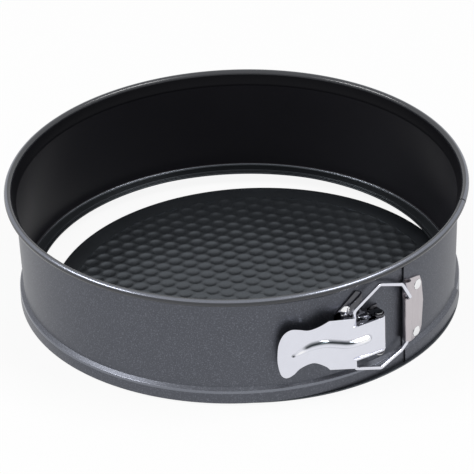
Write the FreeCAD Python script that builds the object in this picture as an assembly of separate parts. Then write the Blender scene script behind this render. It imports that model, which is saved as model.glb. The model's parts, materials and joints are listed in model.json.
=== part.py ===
"""Springform pan: loose base plate, split steel band with a locating lip, and an over-centre lever clasp.

Frame: +Z up, the table is z = 0, the band's axis is the Z axis, and angles run anticlockwise from +X.
All lengths are millimetres and all angles degrees.
"""
import FreeCAD
import Part
import math
import os

V = FreeCAD.Vector
Z_AXIS = V(0, 0, 1)

# ---- band: driving dimensions (heights are above the band's own foot) ----
sheet = 0.6                 # band sheet thickness
wall_low_r = 127.0          # outer radius of the wall at the crease
wall_flare = 1.8            # the wall opens this much from the crease up to the neck
crease_z = 9.6              # wall ends, foot shoulder starts
shoulder_drop = 2.0         # the foot shoulder ends this far below the crease
neck_z = 63.5               # wall ends, flare to the rolled rim starts
rim_out = 4.2               # centre line of the rolled rim, out from the wall's top
rim_rise = 5.4              # centre line of the rolled rim above the neck
rim_roll_r = 2.1            # outer radius of the roll
rim_roll_end = -130.0       # the roll stops here, short of the wall
skirt_out = 2.2             # outside of the foot skirt, out from the wall's foot
lip_width = 7.9             # base lip, from the wall's inside to the lip's opening
lip_root_drop = 0.3         # lip root below the crease
lip_fall = 2.1              # ledge the base rests on, below the lip's root
lip_step = 0.8              # step that centres the base on the ledge
lip_folds = 2               # the lip is folded sheet, this many layers

# ---- band: where it is split and lapped ----
seam_angle = 130.0          # the two halves of the springy strip meet here
seam_gap_angle = 0.1
tongue_end_angle = -14.0    # the left end runs on inside the right end to here
tongue_gap_angle = 0.4
lap_end_angle = -44.5       # outer end of the right half
joggle_angle = 1.0          # the right half steps out over this angle
lap_gap = 0.3               # air between the two layers
lap_top_gap = 0.6           # the outer layer stops this far below the flare

# ---- base plate ----
base_sheet = 0.8
base_overlap = 1.2          # base radius over the lip's opening
base_fit = 0.4              # base to the lip's step
base_shift = 12.0           # the base lies this far off the band's axis
base_shift_angle = -42.0
band_rest_gap = 0.1

# ---- clasp: positions of its three axes (offset = outside the wall at clasp height) ----
clasp_z = 32.7              # middle of the clasp
pivot_angle, pivot_offset = -55.2, 7.0
crank_angle, crank_offset = -61.8, 6.0
catch_angle = -44.2

# ---- clasp: lever ----
lever_sheet = 1.0
lever_near_offset, lever_far_offset = 9.6, 6.2   # plate to wall at the pivot end, at the handle end
lever_end_angle, handle_end_angle = -53.9, -81.6
lever_narrow_half = 11.2    # half height between the ears' folds
lever_wide_angle = -62.0    # the plate widens here
lever_step_high, lever_step_low = 15.6, -17.6     # corners of the step, from the clasp's middle
lever_shoulder_left = 2.6                         # shoulders, left of the lever's middle
lever_shoulder_high, lever_shoulder_low = 18.2, -14.0
# round handle end: left of the lever's middle, height from the clasp's middle
handle_curve = [(5.4, -11.0), (12.1, -7.5), (19.4, -9.6), (23.6, -13.4), (27.4, -15.0), (30.4, -12.6),
                (32.0, -5.6), (32.1, 1.0), (31.2, 8.0), (28.6, 13.6), (24.6, 16.3), (20.0, 15.9),
                (14.8, 14.6), (9.0, 15.6)]
ear_sheet = 1.2
ear_pivot_r = 3.6
ear_crank_r = 4.6
# middle and far end of the crank slot, as shares of the way from pivot to crank
ear_slot_shares = 0.79, 0.60
ear_slot_radii = 3.3, 2.6
ear_slot_lean = 0.40                # the slot lies this much nearer the wall than the ear's middle
rib_half_width = 2.0
rib_height = 1.3
# middle of the rib: left of the lever's middle, height from the clasp's middle
rib_line = [(17.0, 4.4), (12.4, 5.9), (5.5, 5.8), (-1.7, 3.8), (-11.4, 1.2), (-19.6, 1.4)]
rib_point = 22.8, 1.9       # pointed left end
rib_round = -22.0, 1.5      # round right end

# ---- clasp: pins, wire, brackets and rivets ----
pin_r = 1.5
pin_fit = 0.08              # radial, pin to ear
pin_head_r, pin_head_h = 2.6, 0.9
pin_ear_gap = 0.3
wire_r = 1.1
wire_fit = 0.28             # radial, wire to ear
bracket_sheet = 1.0
bracket_peak = 28.6         # top corner of the lever bracket above the clasp's middle
bracket_low = 18.0          # its lower edge below the clasp's middle
bracket_side = 17.0         # top of its left edge above the clasp's middle
bracket_ear_root = 14.6     # top of its right edge above the clasp's middle
bracket_left_angle, bracket_right_angle = -66.2, -53.6
bracket_peak_angle, bracket_notch_angle = -60.2, -58.4
bracket_ear_gap = 0.4       # lever ear to bracket ear
bracket_ear_r = 3.4
crease_gap = 0.4            # brackets stay this far above the crease
roll_fit = 0.35             # radial, wire to catch roll
roll_sheet = 1.0
roll_low = 17.6             # lower end of the roll below the clasp's middle
catch_top = 21.4            # top of the catch above the clasp's middle
catch_right_angle = -39.2
catch_bulge = 5.6           # the catch's right edge bows out this much
slot_rise = 2.6             # window in the roll, this far above the wire's turn
slot_side = 2.4             # window's reach to the right of the roll's axis
slot_fit = 0.3
rivet_head_r, rivet_head_h = 3.3, 1.3
rivet_shank_r = 1.6
rivet_inner_head_h = 0.7
rivet_edge = 1.0            # rivet head to the bracket's lower edge
bracket_rivet_rise = 17.6   # upper bracket rivet above the clasp's middle
bracket_rivet_angle = -63.2
catch_rivet_rise = 13.4
catch_rivet_angle = -39.4

# ---- bail loop: share of the way from the crank to the catch, height over the clasp's middle, step out ----
bail_upper = [(0.0, 18.6, 0.0), (0.455, 29.0, 1.4), (0.88, 21.6, 1.4)]
bail_lower = [(0.86, -22.1, 0.8), (0.46, -26.4, 1.2), (0.0, -19.2, 0.0)]
bail_turn = 11.8            # the wire turns out of the roll at this height
bail_turn_left = 1.2        # where it passes in front of the roll
bail_front_gap = 0.3
bail_end_gap = 0.3          # wire to the roll's lower end

# ---- worked out from the values above ----
wall_top_r = wall_low_r + wall_flare
shoulder_z = crease_z - shoulder_drop
rim_r = wall_top_r + rim_out
rim_z = neck_z + rim_rise
skirt_r = wall_low_r + skirt_out
lip_inner_r = wall_low_r - sheet - lip_width
lip_ledge_z = crease_z - lip_root_drop - lip_fall
lap_shift = sheet + lap_gap
lip_thickness = lip_folds * sheet
lip_step_r = lip_inner_r + base_overlap + base_fit
base_r = lip_inner_r + base_overlap
band_rise = base_sheet + band_rest_gap


def wall_r(z):
    """Outer radius of the wall at a height above the foot."""
    return wall_low_r + (wall_top_r - wall_low_r) * (z - crease_z) / (neck_z - crease_z)


clasp_wall_r = wall_r(clasp_z)
pivot_r = clasp_wall_r + pivot_offset
crank_r = clasp_wall_r + crank_offset
roll_inner_r = wire_r + roll_fit
roll_outer_r = roll_inner_r + roll_sheet
catch_r = clasp_wall_r + lap_shift + roll_outer_r
ear_hole_crank_r = wire_r + wire_fit
ear_hole_pivot_r = pin_r + pin_fit
bracket_ear_half = lever_narrow_half + bracket_ear_gap + ear_sheet
fitting_low_z = crease_z + crease_gap
bracket_low_z = clasp_z - bracket_low
bracket_rivet_levels = {"upper": clasp_z + bracket_rivet_rise,
                        "lower": bracket_low_z + rivet_edge + rivet_head_r}
catch_rivet_levels = {"upper": clasp_z + catch_rivet_rise, "lower": fitting_low_z + rivet_edge + rivet_head_r}


def polar(radius, angle, z=0.0):
    a = math.radians(angle)
    return V(radius * math.cos(a), radius * math.sin(a), z)


def face_of(points):
    """Face from (x, z) or (x, y, z) points."""
    pts = [V(p[0], 0, p[1]) if len(p) == 2 else V(*p) for p in points]
    return Part.Face(Part.makePolygon(pts + [pts[0]]))


def swept(face, start_angle, end_angle):
    """Turn a face in the XZ plane about Z from one angle to another."""
    solid = face.revolve(V(0, 0, 0), Z_AXIS, end_angle - start_angle)
    solid.rotate(V(0, 0, 0), Z_AXIS, start_angle)
    return solid


def one(shape):
    """The single clean solid in a shape."""
    shape = shape.removeSplitter()
    solids = shape.Solids
    if len(solids) != 1:
        raise ValueError("expected one solid, found %d" % len(solids))
    return solids[0]


def fuse_all(shapes):
    out = shapes[0]
    for s in shapes[1:]:
        out = out.fuse(s)
    return out


def post(centre, radius, z0, z1):
    """Upright cylinder at a point's x and y."""
    return Part.makeCylinder(radius, z1 - z0, V(centre.x, centre.y, z0), Z_AXIS)


# ------------------------------------------------------------------ band

def rim_point(radius, angle):
    a = math.radians(angle)
    return V(rim_r + radius * math.cos(a), 0, rim_z + radius * math.sin(a))


def rim_arc(radius, from_angle, to_angle):
    mid = (from_angle + to_angle) / 2
    return Part.Arc(rim_point(radius, from_angle), rim_point(radius, mid), rim_point(radius, to_angle)).toShape()


def band_section():
    """Rolled rim, flare, wall, folded base lip and foot skirt as one sheet section."""
    inner = rim_roll_r - sheet
    roll = [rim_arc(rim_roll_r, 180, rim_roll_end),
            Part.makeLine(rim_point(rim_roll_r, rim_roll_end), rim_point(inner, rim_roll_end)),
            rim_arc(inner, rim_roll_end, 180)]
    lip_root_z = crease_z - lip_root_drop
    line = [(rim_r - inner, rim_z),
            (wall_top_r, neck_z), (wall_low_r, crease_z), (skirt_r, shoulder_z), (skirt_r, 0),
            (skirt_r - sheet, 0), (skirt_r - sheet, lip_root_z - lip_thickness - sheet),
            (lip_inner_r, lip_ledge_z - lip_thickness), (lip_inner_r, lip_ledge_z),
            (lip_step_r, lip_ledge_z), (lip_step_r, lip_ledge_z + lip_step),
            (wall_low_r - sheet, lip_root_z), (wall_low_r - sheet, crease_z),
            (wall_top_r - sheet, neck_z), (rim_r - rim_roll_r, rim_z)]
    pts = [V(x, 0, z) for x, z in line]
    edges = roll + [Part.makeLine(a, b) for a, b in zip(pts, pts[1:])]
    return Part.Face(Part.Wire(Part.__sortEdges__(edges)))


def lap_line(shift):
    """Outside of the plain outer layer from its top edge to its foot."""
    top = neck_z - lap_top_gap
    return [(wall_r(top) + shift, top), (wall_low_r + shift, crease_z),
            (skirt_r + shift, shoulder_z), (skirt_r + shift, 0)]


def lap_section(inside_shift):
    """Outer layer: plain sheet without rim or lip, its inside at a given shift from the wall's outside."""
    return face_of(lap_line(lap_shift) + list(reversed(lap_line(inside_shift))))


def radial_hole(radius, angle, z, from_r, to_r):
    """Cylinder along the radius, for rivets and their holes."""
    return Part.makeCylinder(radius, to_r - from_r, polar(from_r, angle, z), polar(1, angle))


def make_band_left():
    body = swept(band_section(), seam_angle + seam_gap_angle, 360 + tongue_end_angle)
    for z in bracket_rivet_levels.values():
        body = body.cut(radial_hole(rivet_shank_r, bracket_rivet_angle, z, wall_r(z) - 3, wall_r(z) + 3))
    return one(body)


def make_band_right():
    full = swept(band_section(), tongue_end_angle + tongue_gap_angle, seam_angle - seam_gap_angle)
    lap_start = tongue_end_angle + tongue_gap_angle
    lap = swept(lap_section(lap_gap), lap_end_angle, lap_start + joggle_angle)
    joggle = swept(lap_section(-sheet / 2), lap_start, lap_start + joggle_angle)
    body = fuse_all([full, joggle, lap])
    for z in catch_rivet_levels.values():
        body = body.cut(radial_hole(rivet_shank_r, catch_rivet_angle, z, wall_r(z) + lap_gap / 2, wall_r(z) + 3))
    return one(body)


# ------------------------------------------------------------------ base

def make_base_plate():
    centre = polar(base_shift, base_shift_angle)
    return Part.makeCylinder(base_r, base_sheet, centre, Z_AXIS)


# ------------------------------------------------------------------ clasp helpers

def wall_patch(from_angle, to_angle, z0, z1, offset, thickness):
    """Sheet that follows the wall between two heights and two angles."""
    section = face_of([(wall_r(z0) + offset, z0), (wall_r(z0) + offset + thickness, z0),
                       (wall_r(z1) + offset + thickness, z1), (wall_r(z1) + offset, z1)])
    return swept(section, from_angle, to_angle)


def outline_block(corners, angle, from_r, to_r, curve=()):
    """Solid with an outline given as (distance to the left, height), seen square-on at one angle.

    The outline runs straight through the corners, then along a smooth curve back to the first.
    """
    pts = [V(s, from_r, z) for s, z in corners]
    if curve:
        bend = Part.BSplineCurve()
        bend.interpolate([pts[-1]] + [V(s, from_r, z) for s, z in curve] + [pts[0]])
        edges = [Part.makeLine(a, b) for a, b in zip(pts, pts[1:])] + [bend.toShape()]
    else:
        edges = [Part.makeLine(a, b) for a, b in zip(pts, pts[1:] + pts[:1])]
    block = Part.Face(Part.Wire(edges)).extrude(V(0, to_r - from_r, 0))
    block.rotate(V(0, 0, 0), Z_AXIS, angle - 90)
    return block


def slab_between(p, p_radius, q, q_radius, z0, z1):
    """Plate with two rounded ends."""
    d = (q - p)
    side = V(-d.y, d.x, 0).normalize()
    corners = [p + side * p_radius, q + side * q_radius, q - side * q_radius, p - side * p_radius]
    flat = face_of([(c.x, c.y, z0) for c in corners]).extrude(V(0, 0, z1 - z0))
    return fuse_all([flat, post(p, p_radius, z0, z1), post(q, q_radius, z0, z1)])


def ear_levels(half, thickness):
    """Lower and upper z ranges of a pair of ears whose outsides are a half height from the middle."""
    return [(clasp_z - half, clasp_z - half + thickness), (clasp_z + half - thickness, clasp_z + half)]


# ------------------------------------------------------------------ lever

handle_mid_angle = (lever_end_angle + handle_end_angle) / 2
lever_mid_r = clasp_wall_r + (lever_near_offset + lever_far_offset) / 2


def lever_axis_shift():
    """The lever's bend is struck from a centre moved along the wall, so the handle leans to the wall."""
    half_span = math.radians((lever_end_angle - handle_end_angle) / 2)
    shift = (lever_near_offset - lever_far_offset) / 2 / math.sin(half_span)
    return polar(shift, handle_mid_angle + 90)


def lever_shell(z0, z1, grow_in=0.0, grow_out=0.0):
    """Curved sheet the lever is cut from."""
    outer = lever_mid_r + lever_sheet + grow_out
    inner = lever_mid_r - grow_in
    shell = swept(face_of([(inner, z0), (outer, z0), (outer, z1), (inner, z1)]),
                  handle_end_angle - 8, lever_end_angle)
    shell.translate(lever_axis_shift())
    return shell


def along(angle):
    """Distance to the left of the lever's middle for an angle on the wall."""
    return -lever_mid_r * math.sin(math.radians(angle - handle_mid_angle))


def cut_from_lever_shell(shell, corners, curve=()):
    block = outline_block(corners, handle_mid_angle, lever_mid_r - 40, lever_mid_r + 20, curve)
    return shell.common(block)


def make_lever_plate():
    """Narrow at the ears, wide shoulders, then a waist and a round handle end."""
    mid, narrow = clasp_z, lever_narrow_half
    end, step = along(lever_end_angle), along(lever_wide_angle)
    corners = [(lever_shoulder_left, mid + lever_shoulder_high), (step, mid + lever_step_high),
               (step, mid + narrow), (end, mid + narrow), (end, mid - narrow), (step, mid - narrow),
               (step, mid + lever_step_low), (lever_shoulder_left, mid + lever_shoulder_low)]
    shell = lever_shell(mid + 2 * lever_step_low, mid + 2 * lever_shoulder_high)
    return cut_from_lever_shell(shell, corners, [(left, mid + rise) for left, rise in handle_curve])


def make_lever_rib():
    """S-shaped pressed rib standing proud of the plate."""
    w, mid = rib_half_width, clasp_z
    upper = [(left, mid + rise + w) for left, rise in rib_line]
    lower = [(left, mid + rise - w) for left, rise in reversed(rib_line)]
    curve = upper + [(rib_round[0], mid + rib_round[1])] + lower
    shell = lever_shell(clasp_z - lever_narrow_half, clasp_z + lever_narrow_half,
                        -lever_sheet / 2, rib_height)
    return cut_from_lever_shell(shell, [(rib_point[0], mid + rib_point[1])], curve)


def make_lever():
    pivot, crank = polar(pivot_r, pivot_angle), polar(crank_r, crank_angle)
    plate = fuse_all([make_lever_plate(), make_lever_rib()])
    pieces = [plate]
    for z0, z1 in ear_levels(lever_narrow_half, ear_sheet):
        ear = slab_between(pivot, ear_pivot_r, crank, ear_crank_r, z0, z1)
        fold = lever_shell(z0, z1, lever_near_offset - pivot_offset)
        right, left = along(lever_end_angle), along(lever_wide_angle)
        pieces += [ear, cut_from_lever_shell(fold, [(right, z0), (right, z1), (left, z1), (left, z0)])]
    body = fuse_all(pieces)
    z0, z1 = clasp_z - lever_narrow_half - 1, clasp_z + lever_narrow_half + 1
    body = body.cut(post(pivot, ear_hole_pivot_r, z0, z1))
    return one(body.cut(crank_slot(pivot, crank, z0, z1)))


def crank_slot(pivot, crank, z0, z1):
    """Slot in the ears that the bail's crank side slides in while the lever swings."""
    lean = polar(-ear_slot_lean, crank_angle)
    middle, far = [pivot + (crank - pivot) * share + lean for share in ear_slot_shares]
    return fuse_all([slab_between(crank, ear_hole_crank_r, middle, ear_slot_radii[0], z0, z1),
                     slab_between(middle, ear_slot_radii[0], far, ear_slot_radii[1], z0, z1)])


# ------------------------------------------------------------------ lever bracket and pin

def left_of(angle, middle_angle):
    """Distance to the left of a middle angle for an angle on the wall."""
    return -clasp_wall_r * math.sin(math.radians(angle - middle_angle))


def bracket_outline():
    """Plate that rises to a corner above the ears."""
    left, right, peak, notch = [left_of(a, bracket_peak_angle) for a in (
        bracket_left_angle, bracket_right_angle, bracket_peak_angle, bracket_notch_angle)]
    return [(left, bracket_low_z), (left, clasp_z + bracket_side), (peak, clasp_z + bracket_peak),
            (notch, clasp_z + bracket_peak - 2.0), (notch, clasp_z + bracket_ear_root),
            (right, clasp_z + bracket_ear_root), (right, bracket_low_z)]


def make_lever_bracket():
    pivot = polar(pivot_r, pivot_angle)
    foot = polar(clasp_wall_r, pivot_angle)
    patch = wall_patch(bracket_left_angle, bracket_right_angle,
                       bracket_low_z, clasp_z + bracket_peak, 0, bracket_sheet)
    body = patch.common(outline_block(bracket_outline(), bracket_peak_angle, clasp_wall_r - 20, clasp_wall_r + 20))
    for z0, z1 in ear_levels(bracket_ear_half, ear_sheet):
        body = body.fuse(slab_between(pivot, bracket_ear_r, foot, bracket_ear_r, z0, z1))
    inside = swept(face_of([(0, -5), (wall_r(-5), -5), (wall_r(80), 80), (0, 80)]), 0, 360)
    body = body.cut(inside)
    body = body.cut(post(pivot, ear_hole_pivot_r, 0, 2 * clasp_z))
    for z in bracket_rivet_levels.values():
        body = body.cut(radial_hole(rivet_shank_r, bracket_rivet_angle, z, wall_r(z) - 3, wall_r(z) + 6))
    return one(body)


def make_pivot_pin():
    pivot = polar(pivot_r, pivot_angle)
    reach = bracket_ear_half + pin_ear_gap
    shank = post(pivot, pin_r, clasp_z - reach, clasp_z + reach)
    low = post(pivot, pin_head_r, clasp_z - reach - pin_head_h, clasp_z - reach)
    high = post(pivot, pin_head_r, clasp_z + reach, clasp_z + reach + pin_head_h)
    return one(fuse_all([shank, low, high]))


# ------------------------------------------------------------------ catch bracket

def catch_outline():
    """Plan of the catch plate: straight at the roll, bowed at the free edge."""
    left, right = 0.0, left_of(catch_right_angle, catch_angle)
    low, high, roll_end = fitting_low_z, clasp_z + catch_top, clasp_z - roll_low
    return [(left, roll_end), (left - 3.6, low + 0.4), (left - 7.0, low), (right - 3.4, low + 2.2),
            (right - 4.6, low + 6.0), (right - catch_bulge, clasp_z), (right - 3.6, high - 8.0),
            (right - 1.6, high - 3.0), (right + 1.2, high - 2.0), (left, high)]


def outside_wall():
    """Everything inside the lap's outer face, to trim the catch to it."""
    return swept(face_of([(0, -5), (wall_r(-5) + lap_shift, -5), (wall_r(80) + lap_shift, 80), (0, 80)]), 0, 360)


def make_catch_bracket():
    low, high, roll_end = fitting_low_z, clasp_z + catch_top, clasp_z - roll_low
    sheet_patch = wall_patch(catch_angle, catch_right_angle + 6, low, high, lap_shift, bracket_sheet)
    plate = sheet_patch.common(outline_block(catch_outline(), catch_angle, clasp_wall_r - 20, clasp_wall_r + 20))
    axis = polar(catch_r, catch_angle)
    barrel = post(axis, roll_outer_r, roll_end, high)
    body = plate.fuse(barrel).cut(outside_wall()).cut(post(axis, roll_inner_r, low - 1, high + 1))
    body = body.cut(slot_window())
    for z in catch_rivet_levels.values():
        body = body.cut(radial_hole(rivet_shank_r, catch_rivet_angle, z, wall_r(z) - 1, wall_r(z) + 6))
    return one(body)


def slot_window():
    """Opening in the roll for the wire to turn out to the front."""
    z0 = clasp_z + bail_turn - wire_r - slot_fit
    z1 = clasp_z + bail_turn + slot_rise
    reach = 3 * roll_outer_r
    axis = polar(catch_r, catch_angle)
    out, left = polar(1, catch_angle), polar(1, catch_angle - 90)
    back, right = out * (-roll_inner_r), left * (-slot_side)
    corners = [axis + back + left * reach, axis + out * reach + left * reach, axis + out * reach + right,
               axis + right, axis + back]
    return face_of([(c.x, c.y, z0) for c in corners]).extrude(V(0, 0, z1 - z0))


# ------------------------------------------------------------------ rivets

def make_rivet(angle, z, seat_offset, inner_head):
    """Domed head on the bracket, shank through the sheets, flat head inside or flush end."""
    around = (angle - 4, angle + 4, z - 8, z + 8)
    seat = wall_r(z) + seat_offset
    ball_r = (rivet_head_r ** 2 + rivet_head_h ** 2) / (2 * rivet_head_h)
    ball = Part.makeSphere(ball_r, polar(seat + rivet_head_h - ball_r, angle, z))
    dome = ball.common(radial_hole(rivet_head_r, angle, z, seat - rivet_head_h, seat + rivet_head_h + 1))
    body = dome.cut(wall_patch(*around, seat_offset - 3, 3))
    stop = wall_r(z) - sheet if inner_head else wall_r(z) + lap_gap
    shank = radial_hole(rivet_shank_r, angle, z, stop, seat + rivet_head_h / 2)
    if inner_head:
        flat = radial_hole(rivet_head_r * 0.85, angle, z, stop - rivet_inner_head_h, stop + 1)
        flat = flat.cut(wall_patch(*around, -sheet, 3))
        shank = radial_hole(rivet_shank_r, angle, z, stop - rivet_inner_head_h / 2, seat + rivet_head_h / 2)
        return one(fuse_all([body, shank, flat]))
    return one(shank.cut(wall_patch(*around, -3, 3 + lap_gap)).fuse(body))


# ------------------------------------------------------------------ bail

def bail_path():
    """Closed wire loop: crank side, bends above, out of the roll's window, along the roll, bends below."""
    crank, catch = polar(crank_r, crank_angle), polar(catch_r, catch_angle)
    span = catch - crank
    out, left = polar(1, catch_angle), polar(1, catch_angle - 90)

    def at(share, rise, step_out):
        p = crank + span * share + polar(step_out, (1 - share) * crank_angle + share * catch_angle)
        return V(p.x, p.y, clasp_z + rise)

    front = catch + out * (roll_outer_r + wire_r + bail_front_gap) + left * bail_turn_left
    turn, end = clasp_z + bail_turn, clasp_z - roll_low - wire_r - bail_end_gap
    roll = [V(front.x, front.y, turn + 0.4), V(catch.x, catch.y, turn), V(catch.x, catch.y, end)]
    return [at(*p) for p in bail_upper] + roll + [at(*p) for p in bail_lower]


def make_bail():
    path = bail_path()
    rods = [Part.makeCylinder(wire_r, (b - a).Length, a, b - a) for a, b in zip(path, path[1:] + path[:1])]
    bends = [Part.makeSphere(wire_r, p) for p in path]
    return one(rods[0].multiFuse(rods[1:] + bends))


# ------------------------------------------------------------------ all parts

def make_parts():
    ring = {
        "band_left": make_band_left(),
        "band_right": make_band_right(),
        "lever_bracket": make_lever_bracket(),
        "pivot_pin": make_pivot_pin(),
        "lever": make_lever(),
        "bail": make_bail(),
        "catch_bracket": make_catch_bracket(),
    }
    for name in ("upper", "lower"):
        z = bracket_rivet_levels[name]
        ring["bracket_rivet_" + name] = make_rivet(bracket_rivet_angle, z, bracket_sheet, True)
        z = catch_rivet_levels[name]
        ring["catch_rivet_" + name] = make_rivet(catch_rivet_angle, z, lap_shift + bracket_sheet, False)
    for shape in ring.values():
        shape.translate(V(0, 0, band_rise))
    return dict(ring, base_plate=make_base_plate())


def main():
    os.makedirs("parts", exist_ok=True)
    for name, shape in make_parts().items():
        shape.exportStep("parts/%s.step" % name)
        box = shape.BoundBox
        print("%-22s vol %9.1f  x %.1f..%.1f  y %.1f..%.1f  z %.1f..%.1f  valid %s" % (
            name, shape.Volume, box.XMin, box.XMax, box.YMin, box.YMax, box.ZMin, box.ZMax, shape.isValid()))


if __name__ == "__main__":
    main()
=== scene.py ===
"""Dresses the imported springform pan: coated band, dimpled base, clasp lever, bail and riveted brackets."""

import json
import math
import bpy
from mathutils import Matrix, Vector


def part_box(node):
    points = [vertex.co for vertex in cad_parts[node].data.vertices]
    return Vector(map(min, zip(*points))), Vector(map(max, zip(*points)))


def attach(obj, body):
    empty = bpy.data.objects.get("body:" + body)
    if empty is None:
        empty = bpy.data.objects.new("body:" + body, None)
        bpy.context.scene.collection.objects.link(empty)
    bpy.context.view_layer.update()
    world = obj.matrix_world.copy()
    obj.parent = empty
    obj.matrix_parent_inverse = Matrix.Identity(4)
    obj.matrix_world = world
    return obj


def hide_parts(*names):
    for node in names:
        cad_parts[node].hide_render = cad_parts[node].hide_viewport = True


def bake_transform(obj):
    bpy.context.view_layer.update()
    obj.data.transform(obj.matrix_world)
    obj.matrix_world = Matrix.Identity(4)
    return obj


bl_info = {
    "name": "Springform Pan",
    "version": (1, 0, 0),
    "blender": (4, 5, 0),
    "location": "View3D > Sidebar > Springform Pan",
    "description": "Builds the visible surfaces of a springform pan on its packed model",
    "category": "Object",
}

import bmesh
import bpy
import numpy as np
from bpy.props import FloatProperty, FloatVectorProperty, PointerProperty
from mathutils import Matrix, Vector
from mathutils.geometry import delaunay_2d_cdt

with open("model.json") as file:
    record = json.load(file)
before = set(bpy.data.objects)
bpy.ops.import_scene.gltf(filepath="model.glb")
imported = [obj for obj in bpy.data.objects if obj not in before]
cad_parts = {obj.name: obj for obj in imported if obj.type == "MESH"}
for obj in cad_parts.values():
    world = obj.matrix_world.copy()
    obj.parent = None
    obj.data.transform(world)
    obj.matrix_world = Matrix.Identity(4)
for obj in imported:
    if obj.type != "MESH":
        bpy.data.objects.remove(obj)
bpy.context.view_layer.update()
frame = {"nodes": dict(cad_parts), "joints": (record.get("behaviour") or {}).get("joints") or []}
JOINTS = {j["name"]: j for j in frame["joints"]}

# Places read from the frame, in metres.
BAND_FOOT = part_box("band_left")[0].z
BASE_LOW, BASE_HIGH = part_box("base_plate")
BASE_CENTRE = (BASE_LOW + BASE_HIGH) / 2
PIVOT = Vector(JOINTS["lever_swing"]["pos_m"])
CLASP_Z = PIVOT.z
CATCH = Vector(JOINTS["bail_swing"]["pos_m"])


# ------------------------------------------------------------------ sizes and colours

def length(name, description, metres):
    return FloatProperty(name=name, description=description, default=metres, unit="LENGTH", precision=5)


def angle(name, description, degrees):
    return FloatProperty(name=name, description=description, default=math.radians(degrees), unit="ROTATION")


def colour(name, description, red, green, blue):
    return FloatVectorProperty(name=name, description=description, default=(red, green, blue),
                               subtype="COLOR", min=0.0, max=1.0)


class PanBandSizes(bpy.types.PropertyGroup):
    sheet: length("Sheet", "Thickness of the band's sheet", 0.0006)
    wall_low_radius: length("Wall radius, low", "Outside of the wall at the crease", 0.1270)
    wall_top_radius: length("Wall radius, top", "Outside of the wall below the flare", 0.1288)
    crease_height: length("Crease height", "Crease above the foot", 0.0096)
    shoulder_height: length("Shoulder height", "Foot shoulder above the foot", 0.0076)
    neck_height: length("Neck height", "Where the flare to the rim starts", 0.0635)
    rim_radius: length("Rim radius", "Centre line of the rolled rim", 0.13295)
    rim_height: length("Rim height", "Centre line of the rolled rim above the foot", 0.0689)
    neck_bend: length("Neck bend", "Bend where the wall turns into the flare", 0.0040)
    roll_radius: length("Roll radius", "Outer radius of the rolled rim", 0.0021)
    roll_end: angle("Roll end", "Where the roll stops, short of the wall", -130)
    skirt_radius: length("Skirt radius", "Outside of the foot skirt", 0.1292)
    shoulder_bend: length("Shoulder bend", "Bend of the foot's shoulder", 0.0012)
    # The band under the shoulder is no worn edge but carries the crest's painted highlight.
    shoulder_highlight_band: length("Shoulder edge", "Height of the worn edge under the shoulder", 0.0011)
    crease_bend: length("Crease bend", "Bend of the creases", 0.0003)
    lip_radius: length("Lip radius", "Opening of the base lip", 0.1185)
    ledge_height: length("Ledge height", "Ledge for the base above the foot", 0.0072)
    ledge_width: length("Ledge width", "Width of the ledge", 0.0016)
    ledge_step: length("Ledge step", "Step that centres the base", 0.0008)
    ledge_bend: length("Ledge bend", "Bend of the step that centres the base", 0.0004)
    lip_bend: length("Lip bend", "Bend of the folded lip's inner edge", 0.0005)
    root_drop: length("Root drop", "Root of the lip below the crease", 0.0003)
    bead: length("Bead", "Height of the bead along the lip's root", 0.0005)
    bead_bend: length("Bead bend", "Bend at the foot of the bead", 0.0006)
    lap_shift: length("Lap shift", "Outer layer's step out past the inner one", 0.0009)
    lap_gap: length("Lap gap", "Air between the two layers", 0.0003)
    lap_top_gap: length("Lap top gap", "Outer layer's top edge below the flare", 0.0006)
    lap_bend: length("Lap bend", "Rounding of the outer layer's free edges", 0.0002)
    lap_joggle: angle("Lap joggle", "Arc over which the outer layer joins the right half", 1.0)
    lap_end: angle("Lap end", "Outer end of the right half", -44.5)
    tongue_end: angle("Tongue end", "Inner end of the left half", -14)
    tongue_gap: angle("Tongue gap", "From the tongue's end to the right half's rim", 0.4)
    back: angle("Back", "Direction opposite the clasp", 130)
    back_half: angle("Back half span", "Half of the arc that bends when the band opens", 60)
    facet: angle("Facet", "Angle between two sections of the band", 0.8)
    outside: colour("Outside", "Coating outside", 0.094, 0.099, 0.116)
    inside: colour("Inside", "Coating inside", 0.0115, 0.0112, 0.0140)
    # The edge colour is painted shade: the rolled rim's coating, darker than the wall's.
    edge: colour("Edge", "Coating on the rolled rim", 0.026, 0.028, 0.034)
    # The crest colour is a painted highlight: lighter than the wall's coating, on a glossier coat.
    crest: colour("Crest", "Coating on the rim's crest and the shoulder's edge", 0.18, 0.19, 0.22)
    # The flare colour is painted shade: darker than the inside coating where the flare faces up into the
    # light.
    flare: colour("Flare", "Coating inside the flare under the rim", 0.0060, 0.0060, 0.0075)
    lip: colour("Lip", "Coating on the base lip", 0.030, 0.034, 0.039)


class PanBaseSizes(bpy.types.PropertyGroup):
    edge_round: length("Edge rounding", "Rounding of the plate's rim", 0.0002)
    border: length("Border", "Plain border around the dimples", 0.0117)
    pitch: length("Pitch", "Distance between dimples", 0.0094)
    dimple_radius: length("Dimple radius", "Mouth of one dimple", 0.0044)
    dimple_depth: length("Dimple depth", "Depth of one dimple", 0.00050)
    skin: length("Skin", "Pressed sheet under the dimples", 0.00065)
    overlap: length("Overlap", "Reach of the outermost dimples' middles under the border", 0.00545)
    hair: length("Hair", "Dimpled sheet below the border's face", 0.000004)
    lattice: angle("Lattice", "Direction of the dimple rows", -21)
    coating: colour("Coating", "Base coating", 0.072, 0.080, 0.090)


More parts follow.
